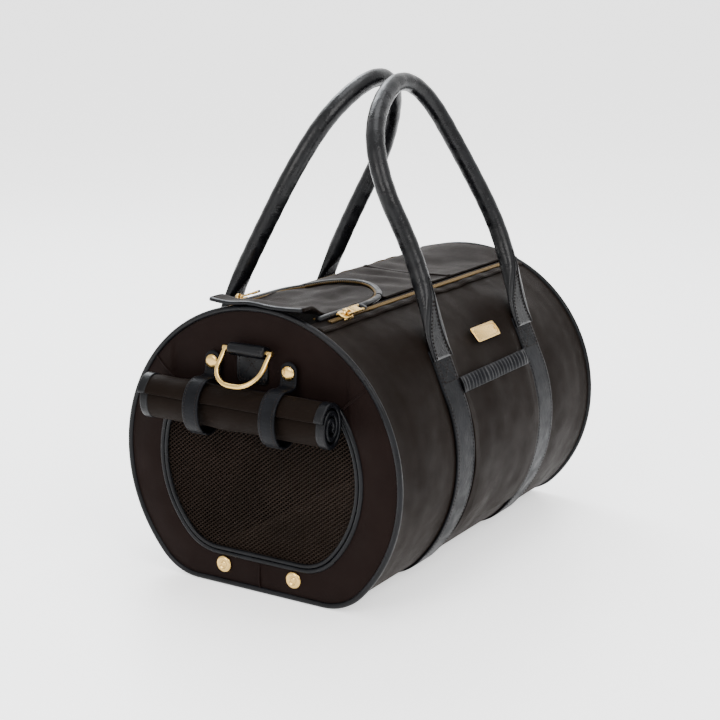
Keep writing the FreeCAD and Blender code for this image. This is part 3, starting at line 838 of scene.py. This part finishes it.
def lid_height(x, y):
    """Top fabric between the zips: sagging in the middle, arched where it meets the rear end."""
    across = 1 - (y / LID_HALF) ** 2
    rear = min(1.0, max(0.0, (x - 120) / (HALF - 124)))
    rear = rear * rear * (3 - 2 * rear)
    arch = CENTRE_Z + math.sqrt(BAG_R ** 2 - y * y) - (LID_TOP - 1.2)
    droop = -2.6 * math.exp(-((x - 78) / 55) ** 2) + 2.0 * math.exp(-((x + 20) / 45) ** 2)
    folds = ripple(x, 0.4 * y, 3, 24, 2.2) + 0.5 * math.sin(x / 7 + y / 19)
    near_edge = min(1.0, (LID_HALF - abs(y)) / 14)
    return LID_TOP - 0.6 + droop * across * (1 - rear) + arch * rear + folds * near_edge * (1 - rear)


def lid():
    """Top panel in two sheets, its bound neck edge, and the seam between them."""
    ys = np.linspace(-LID_HALF + 0.4, LID_HALF - 0.4, 46)
    fold = ("lid_front_leaf", "lid_rear_leaf", ((FOLD_X - 9) * MM, 0, 0), ((FOLD_X + 9) * MM, 0, 0))
    lift = ("root", "lid_rear_leaf", ((LID_REAR_X + 12) * MM, 0, 0), ((LID_REAR_X - 14) * MM, 0, 0))
    verts = []
    for u in np.linspace(0, 1, 70):
        for y in ys:
            start = max(LEAF_FRONT_X, arc_x(y))
            x = start + u * (SEAM_X - start)
            verts.append((x, y, lid_height(x, y)))
    piece("lid_front_fabric", verts, grid(70, len(ys)), NYLON_TOP, solid=1.4, joint=fold,
          replaces=("lid_front",))
    verts = []
    for x in np.linspace(SEAM_X, HALF - 2.5, 80):
        for y in ys:
            wide = 1 + max(0.0, (x - LID_REAR_X) / (HALF - LID_REAR_X)) * 0.2
            verts.append((x, y * wide, lid_height(x, y)))
    piece("lid_rear_fabric", verts, grid(80, len(ys)), NYLON_TOP, solid=1.4, joint=lift,
          replaces=("lid_rear", "top_rear_panel"))
    seam = [(SEAM_X, y, lid_height(SEAM_X, y) + 1.0) for y in ys]
    piece("lid_seam", *sweep(seam, (1, 0, 0), (0, 0, 1), oval(7, 1.6, 3, 12)), NYLON_TOP,
          body="lid_rear_leaf")
    limit = math.acos((LEAF_FRONT_X - ARC_X) / ARC_DEPTH)
    neck = [(ARC_X + ARC_DEPTH * math.cos(t), LID_HALF * math.sin(t))
            for t in np.linspace(-limit, limit, 70)]
    bound_edge("neck_edge", neck, "lid_front_leaf", ("neck_binding",))
    for name, side in SIDES.items():
        line = [(ARC_X + ARC_DEPTH * math.cos(t), side * LID_HALF * math.sin(t))
                for t in np.linspace(limit + 0.03, math.pi / 2, 20)]
        line += [(x, side * LID_HALF) for x in np.linspace(ARC_X - 4, -HALF + 18, 24)]
        bound_edge(name + "_neck_side", line, "root", ())


def bound_edge(name, line, body, stands_for):
    """Leather-bound edge with a row of zip teeth on its inner side."""
    path = []
    for x, y in line:
        rest = CENTRE_Z + math.sqrt(BAG_R ** 2 - 48.5 ** 2) + 1.9
        path.append((x, y, max(rest, lid_height(x, y) + 0.9) if body != "root" else rest))
    path = np.array(path)
    ahead = tangents(path)
    across = unit(np.cross((0, 0, 1), ahead))
    inward = -np.sign(np.sum(across * (path - np.array((ARC_X - 40, 0, path[0, 2]))), axis=1).mean())
    across = across * inward
    piece(name + "_leather", *sweep(path, across, (0, 0, 1), oval(5.8, 4.4, 2.2, 16)), LEATHER,
          body=body, replaces=stands_for)
    row = resample(path + across * 3.2 + np.array((0, 0, -0.6)), 1.9)
    ahead = tangents(row)
    side = unit(np.cross((0, 0, 1), ahead))
    teeth = [tooth(p, t, c, (0, 0, 1), (1.3, 2.2, 1.6)) for p, t, c in zip(row, ahead, side)]
    piece(name + "_teeth", *join(teeth), TEETH, smooth=False, body=body)


def flap_height(x, y):
    """Head flap: flat behind, rising over the front piping, with lengthwise folds."""
    front_z = FLAP_HIGH[2] - 0.8
    rear_z = LID_TOP - 0.6
    t = min(1.0, max(0.0, (-152 - x) / 34.0))
    t = t * t * (3 - 2 * t)
    folds = ripple(0.5 * x, y, 9, 15, 2.0) + ripple(x, y, 5, 38, 1.6)
    return rear_z + (front_z - rear_z) * t + folds * (1 - 0.5 * t) + 0.6 * math.cos(y / 9) * t


def head_flap():
    """Folded fabric tongue in front of the lid, with a bound front edge."""
    half = 42.6
    verts = []
    us = np.linspace(0, 1, 80)
    front = FLAP_LOW[0] + 1.5
    for u in us:
        for v in np.linspace(-1, 1, 46):
            y = v * half
            rear = arc_x(y, ARC_DEPTH - 6, half + 0.4)
            x = front + u * (rear - front)
            spread = 1 + 0.09 * min(1.0, max(0.0, (-165 - x) / 25))
            verts.append((x, y * spread, flap_height(x, y)))
    piece("head_flap_fabric", verts, grid(80, 46), NYLON_TOP, solid=2.2, body="head_flap",
          replaces=("head_flap",))
    edge = [(front, v * half * 1.09, flap_height(front, v * half) - 0.4) for v in np.linspace(-1, 1, 50)]
    piece("head_flap_edge", *sweep(edge, (1, 0, 0), (0, 0, 1), oval(5.0, 3.4, 2.4, 14)), LEATHER,
          body="head_flap")
    sides = []
    for side in (-1, 1):
        line = []
        for x in np.linspace(front, ARC_X - 4, 50):
            spread = 1 + 0.09 * min(1.0, max(0.0, (-165 - x) / 25))
            line.append((x, side * half * spread, flap_height(x, side * half)))
        sides.append(sweep(line, (0, 1, 0), (0, 0, 1), oval(3.0, 3.0, 2.2, 12)))
    piece("head_flap_sides", *join(sides), NYLON_TOP, body="head_flap")


# ---- Rolled privacy flap and its straps ----
def rolled_flap():
    """Privacy flap rolled up in a loose spiral, leather-bound at both ends."""
    turns = 2.6
    samples = 150
    core = 4.0
    flat = ROLL_DEEP / ROLL_TALL
    near, far = ROLL_LOW[1], ROLL_HIGH[1]
    for name, start, stop, thick, finish, stands_for in (
            ("rolled_flap_fabric", near + 6, far - 6, 2.6, NYLON, ("rolled_flap",)),
            ("roll_binding_near", near + 0.6, near + 8.6, 4.2, LEATHER, ("roll_end_bindings",)),
            ("roll_binding_far", far - 8.6, far - 0.6, 4.2, LEATHER, ())):
        rows = 60 if name == "rolled_flap_fabric" else 8
        verts = []
        for y in np.linspace(start, stop, rows):
            inner = []
            outer = []
            for k in range(samples):
                t = k / (samples - 1)
                angle = 2 * math.pi * turns * t + math.radians(-55)
                middle = core + (ROLL_TALL - 1.9 - core) * t
                droop = ripple(y, 12 * math.cos(angle), 12 * math.sin(angle), 26, 1.5) * t
                if finish is LEATHER:
                    droop = 0.25 * t
                c, s = math.cos(angle), math.sin(angle)
                for r, rim in ((middle + droop - thick / 2, inner), (middle + droop + thick / 2, outer)):
                    r = min(r, ROLL_TALL + 0.25)
                    rim.append((ROLL_X + r * c * flat, y, ROLL_Z + r * s))
            verts += outer + inner[::-1]
        faces = grid(rows, 2 * samples, True)
        for row in (0, rows - 1):
            base = row * 2 * samples
            faces += [(base + k, base + k + 1, base + 2 * samples - 2 - k, base + 2 * samples - 1 - k)
                      for k in range(samples - 1)]
        piece(name, verts, faces, finish, replaces=stands_for)


def roll_straps():
    """Two snap straps round the roll, their fixed lower halves, and their caps."""
    hinge = math.radians(240)
    deep, tall = ROLL_DEEP + 1.5, ROLL_TALL + 1.5
    panel_x = -HALF - 0.1
    anchors = []
    for name, joint in (("near", "near_roll_strap_open"), ("far", "far_roll_strap_open")):
        y = JOINTS[joint]["pos_m"][1] / MM
        cap_low, cap_high = box_mm(name + "_roll_cap")
        cap_z = (cap_low[2] + cap_high[2]) / 2
        line = [(ROLL_X + deep * math.cos(a), ROLL_Z + tall * math.sin(a))
                for a in np.linspace(hinge - 0.05, math.radians(72), 40)]
        line += [(panel_x - 5.6, cap_z - 12), (panel_x - 4.6, cap_z - 4), (panel_x - 4.4, cap_z + 9.5)]
        flat = resample(np.concatenate([line[:38], rounded(line[38:], 3)]), 1.6)
        path = np.array([(x, y, z) for x, z in flat])
        ahead = tangents(path)
        out = np.cross(ahead, (0, 1, 0))
        out = out * np.sign(np.sum(out[: len(out) // 2] * (path[: len(out) // 2]
                                                            - np.array((ROLL_X, y, ROLL_Z))), axis=1).sum())
        run = np.arange(len(path)) * 1.6
        from_tip = run[-1] - run
        wide = 16.0 * np.sqrt(np.clip(1 - (1 - np.clip(from_tip / 8.0, 0, 1)) ** 2, 0.02, 1))
        rings = [oval(w, 2.1, 6, 24) for w in wide]
        piece(name + "_roll_strap_leather", *sweep(path, (0, 1, 0), out, rings), STRAP_LEATHER_PAINTED_SHEEN,
              body=name + "_roll_strap", replaces=(name + "_roll_strap",))
        rows = []
        for edge in (-1, 1):
            keep = from_tip > 7
            row = path[keep] + out[keep] * 1.1 + np.array((0, edge * 5.6, 0))
            rows.append(stitches(row, out[keep], 2.8, 2.0, 0.34))
        piece(name + "_roll_strap_stitching", *join(rows), THREAD, slot="leather",
              body=name + "_roll_strap")
        cap = lathe((cap_high[0] + 0.4, y, cap_z), (-1, 0, 0),
                    ((5.4, 0), (6.3, 0.4), (6.5, 1.0), (6.0, 1.9), (4.6, 2.5), (2.6, 2.8), (0.4, 2.9)))
        piece(name + "_cap_brass", *cap, BRASS, body=name + "_roll_strap",
              replaces=(name + "_roll_cap",))
        low = [(ROLL_X + deep * math.cos(a), ROLL_Z + tall * math.sin(a))
               for a in np.linspace(hinge + 0.1, math.radians(310), 20)]
        low += [(panel_x - 1.5, low[-1][1] - 0.5)]
        path = np.array([(x, y, z) for x, z in resample(rounded(low, 2), 2.0)])
        out = np.cross((0, 1, 0), tangents(path))
        anchors.append(sweep(path, (0, 1, 0), out, oval(16.0, 2.1, 6, 24)))
    piece("roll_strap_roots", *join(anchors), STRAP_LEATHER_PAINTED_SHEEN, replaces=("roll_strap_anchors",))


# ---- Small metal and leather fittings ----
def ring_fittings():
    """Stitched patch and rolled tab that hold each D-ring."""
    for name, s in ENDS.items():
        low, high = box_mm(name + "_ring_patch")
        y = (low[1] + high[1]) / 2
        z = (low[2] + high[2]) / 2
        along, up, out = (0, 1, 0), (0, 0, 1), (s, 0, 0)
        size = (high[1] - low[1], high[2] - low[2])
        plate = rounded_plate((s * (HALF + 0.1), y, z), along, up, out, (*size, 2.3), 7)
        piece(name + "_patch_leather", *plate, LEATHER, replaces=(name + "_ring_patch",))
        a, b = size[0] / 2 - 3, size[1] / 2 - 3
        x = s * (HALF + 2.5)
        at = [np.array((x, y + p, z + q)) for p, q in ((-a, -b), (a, -b), (a, b), (-a, b))]
        rows = [stitches([at[i], at[j]], [out, out], 3.0, 2.2, 0.4)
                for i, j in ((0, 1), (1, 2), (2, 3), (3, 0), (0, 2), (1, 3))]
        piece(name + "_patch_stitching", *join(rows), THREAD, slot="leather")
        tab_low, tab_high = box_mm(name + "_ring_tab")
        bar_z = JOINTS[name + "_d_ring_swing"]["pos_m"][2] / MM
        bar_x = JOINTS[name + "_d_ring_swing"]["pos_m"][0] / MM
        drop = [(bar_x + s * 5.6 * math.cos(t), bar_z + 5.6 * math.sin(t))
                for t in np.linspace(-math.pi * 0.62, math.pi * 0.62, 26)]
        drop = np.array(drop + [(s * (HALF + 2.2), bar_z + 3.6), (s * (HALF + 2.2), bar_z - 3.6)])
        centre = drop.mean(axis=0)
        verts = []
        stations = ((0.0, 0.8), (0.8, 0.95), (2.2, 1.0))
        width = tab_high[1] - tab_low[1]
        spots = [(d, k) for d, k in stations] + [(width - d, k) for d, k in stations[::-1]]
        for d, k in spots:
            for px, pz in centre + (drop - centre) * k:
                verts.append((px, tab_low[1] + d, pz))
        faces = grid(len(spots), len(drop), True)
        count = len(drop)
        faces += [tuple(range(count)), tuple(range((len(spots) - 1) * count, len(spots) * count))]
        piece(name + "_tab_leather", verts, faces, LEATHER, replaces=(name + "_ring_tab",))


def buttons():
    """Two dimpled snap studs low on the front panel."""
    low, high = box_mm("panel_snap_studs")
    radius = (high[2] - low[2]) / 2
    parts = []
    for y in (low[1] + radius, high[1] - radius):
        profile = ((radius * 1.0, 0), (radius * 1.04, 0.7), (radius * 0.97, 1.9), (radius * 0.78, 2.7),
                   (radius * 0.56, 2.7), (radius * 0.44, 1.7), (radius * 0.36, 1.5), (radius * 0.3, 2.3),
                   (radius * 0.16, 2.5), (0.2, 2.5))
        parts.append(lathe((-HALF - 1.3, y, low[2] + radius), (-1, 0, 0), profile, 40))
    piece("snap_studs_brass", *join(parts), BRASS, replaces=("panel_snap_studs",))


def side_trim():
    """Nameplate with its rivets, and the slip pocket with its gathered band."""
    low, high = box_mm("nameplate")
    x = (low[0] + high[0]) / 2
    middle = (low + high) / 2
    phi = math.atan2(middle[2] - CENTRE_Z, -middle[1])
    degrees = 90 - math.degrees(phi)
    out = np.array((0, -math.cos(phi), math.sin(phi)))
    up = np.array((0, math.sin(phi), math.cos(phi)))
    along = (1, 0, 0)
    lift = 0.4 + max(wall_swell(x + a, BAG_R * math.radians(degrees) + b, -1)
                     for a in np.linspace(-22, 22, 12) for b in np.linspace(-8, 8, 7))
    base = np.array(polar(-1, x, 0, BAG_R + 0.2, degrees)) + out * lift
    plate = rounded_plate(base, along, up, out, (high[0] - low[0], 15, 1.2), 14)
    long = high[0] - low[0]
    rim = hollow_plate(base + out * 1.3, along, up, out, (long - 1, 14, 0), (long - 4, 11, 0), 0.7)
    piece("nameplate_brass", *join([plate, rim]), BRASS, replaces=("nameplate",))
    dome = ((1.5, 0), (1.5, 0.5), (1.1, 0.9), (0.2, 1.1))
    heads = [lathe(base + out * 1.1 + np.array((e * 18.5, 0, 0)), out, dome, 16) for e in (-1, 1)]
    piece("nameplate_rivet_heads", *join(heads), BRASS, replaces=("nameplate_rivets",))
    pocket_low, pocket_high = box_mm("pocket_panel")
    band_low, band_high = box_mm("pocket_band")
    levels = (band_high[2], band_low[2], pocket_low[2])
    top, seam, bottom = (BAG_R * math.acos((z - CENTRE_Z) / BAG_R) for z in levels)
    xs = np.linspace(pocket_low[0] - 2, pocket_high[0] + 2, 110)
    verts = []
    for s in np.linspace(seam - 1, bottom, 60):
        for x in xs:
            fold = ripple(x, float(section(s, -1)[1]), 4, 22, 0.6)
            bulge = 0.9 * math.sin(math.pi * (s - seam) / (bottom - seam))
            verts.append(wall_point(x, s, -1, 1.5 + bulge + fold)[0])
    piece("pocket_fabric", verts, grid(60, len(xs)), NYLON, solid=1.2, replaces=("pocket_panel",))
    verts = []
    rows = np.linspace(0, 1, 16)
    for v in rows:
        for x in np.linspace(pocket_low[0] - 2, pocket_high[0] + 2, 260):
            s = top - 1.0 + (seam - top + 2.5) * v
            crown = max(0.0, math.sin(math.pi * v))
            gather = 0.28 * math.sin(x * 1.05 + 1.8 * noise.noise(Vector((x / 9, v, 1)))) * crown ** 0.6
            verts.append(wall_point(x, s, -1, 2.2 + 1.2 * crown + gather)[0])
    piece("pocket_band_gathered", verts, grid(len(rows), 260), STRAP_LEATHER_PAINTED_SHEEN, solid=1.0,
          replaces=("pocket_band",))


# ---- Inside ----
def floor_cushion():
    """Loose cushion on the base board, filled out by a short cloth simulation."""
    low, high = box_mm("floor_cushion")
    mid = (low + high) / 2
    size = (high - low) - np.array((10, 10, 5))
    rings = []
    for level, shrink in ((-0.5, 0.97), (-0.3, 1.0), (0.3, 1.0), (0.5, 0.97)):
        ring = oval(size[0] * shrink, size[1] * shrink, 9, 60)
        rings.append(np.column_stack([mid[0] + ring[:, 0], mid[1] + ring[:, 1],
                                      np.full(60, mid[2] + level * size[2])]))
    verts = np.concatenate(rings)
    faces = grid(4, 60, True)
    faces += [tuple(range(60)), tuple(range(180, 240))]
    made = new_object("floor_cushion_fleece", verts, faces, FLEECE)
    remesh = made.modifiers.new("remesh", "REMESH")
    remesh.mode = "VOXEL"
    remesh.voxel_size = 6 * MM
    settle(made)
    rest = np.array([v.co for v in made.data.vertices])
    swell = made.modifiers.new("cloth", "CLOTH")
    swell.settings.use_pressure = True
    swell.settings.uniform_pressure_force = 4.0
    swell.settings.effector_weights.gravity = 0.0
    for step in range(1, 21):
        bpy.context.scene.frame_set(step)
    settle(made)
    now = np.array([v.co for v in made.data.vertices])
    move = now - rest
    far = np.linalg.norm(move, axis=1, keepdims=True)
    now = rest + move * np.minimum(1.0, 4.5 * MM / np.maximum(far, 1e-9))
    now[:, 2] = np.maximum(now[:, 2], low[2] * MM)
    made.data.vertices.foreach_set("co", now.ravel())
    bpy.context.scene.frame_set(1)
    made.modifiers.new("smooth", "SUBSURF").levels = 1
    settle(made)
    made.data.materials.clear()
    made.data.materials.append(FLEECE)
    made.data.shade_smooth()
    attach(made, "root")
    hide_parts("floor_cushion")


# ---- Floor, light and camera ----
def studio():
    """Plain white sweep, white world light and soft boxes."""
    rows = []
    for y, z in [(-3.0, 0), (3.0, 0)] + [(3.0 + 1.5 * math.sin(t), 1.5 - 1.5 * math.cos(t))
                                         for t in np.linspace(0.1, math.pi / 2, 12)] + [(4.5, 6.0)]:
        rows.append((y, z))
    turn = Matrix.Rotation(CAMERA_AZIMUTH, 3, "Z")
    verts = [turn @ Vector((x, y, z)) for y, z in rows for x in (-6, 6)]
    data = bpy.data.meshes.new("studio_sweep")
    data.from_pydata([tuple(v) for v in verts], [], grid(len(rows), 2))
    data.shade_smooth()
    floor = bpy.data.objects.new("studio_sweep", data)
    bpy.context.scene.collection.objects.link(floor)
    paper, _, shader = material("studio_paper", (0.95, 0.95, 0.95), 0.4)
    shader.inputs["Specular IOR Level"].default_value = 0.35
    shader.inputs["Emission Color"].default_value = (1, 1, 1, 1)
    shader.inputs["Emission Strength"].default_value = 0.9
    data.materials.append(paper)
    world = bpy.data.worlds.new("studio_world")
    world.use_nodes = True
    world.node_tree.nodes["Background"].inputs["Color"].default_value = (1, 1, 1, 1)
    world.node_tree.nodes["Background"].inputs["Strength"].default_value = 1.45
    bpy.context.scene.world = world
    for name, spot, size, power, colour in (
            ("key_box", (-0.9, -1.9, 1.9), 1.4, 42, (1.0, 0.98, 0.96)),
            ("front_box", (-2.3, 0.2, 1.3), 1.2, 32, (1.0, 0.97, 0.94)),
            ("rim_box", (0.9, 1.2, 1.7), 1.0, 34, (0.9, 0.95, 1.0)),
            ("top_box", (0.1, -0.1, 2.2), 1.2, 26, (0.96, 0.98, 1.0))):
        lamp = bpy.data.lights.new(name, "AREA")
        lamp.size = size
        lamp.energy = power
        lamp.color = colour
        holder = bpy.data.objects.new(name, lamp)
        holder.location = spot
        aim = Vector((0, 0, 0.15)) - Vector(spot)
        holder.rotation_euler = aim.to_track_quat("-Z", "Y").to_euler()
        bpy.context.scene.collection.objects.link(holder)


CAMERA_AZIMUTH = math.radians(-59.12)
CAMERA_HEIGHT = math.radians(13.76)
CAMERA_ROLL = math.radians(0.57)
CAMERA_SPOT = (-1.2917, -0.7566, 0.5365)
CAMERA_LENS = 80.87


def camera():
    back = Vector((math.sin(CAMERA_AZIMUTH) * math.cos(CAMERA_HEIGHT),
                   -math.cos(CAMERA_AZIMUTH) * math.cos(CAMERA_HEIGHT), math.sin(CAMERA_HEIGHT)))
    right = Vector((math.cos(CAMERA_AZIMUTH), math.sin(CAMERA_AZIMUTH), 0))
    up = back.cross(right)
    right, up = (right * math.cos(CAMERA_ROLL) + up * math.sin(CAMERA_ROLL),
                 up * math.cos(CAMERA_ROLL) - right * math.sin(CAMERA_ROLL))
    turn = Matrix((right, up, back)).transposed()
    lens = bpy.data.cameras.new("camera")
    lens.lens = CAMERA_LENS
    lens.sensor_width = 36
    made = bpy.data.objects.new("camera", lens)
    made.matrix_world = Matrix.Translation(CAMERA_SPOT) @ turn.to_4x4()
    bpy.context.scene.collection.objects.link(made)
    bpy.context.scene.camera = made


camera()
studio()
body_fabric()
for end_name, end_sign in ENDS.items():
    end_panel(end_name, end_sign)
body_straps()
handles()
zips()
lid()
head_flap()
rolled_flap()
roll_straps()
ring_fittings()
buttons()
side_trim()
floor_cushion()
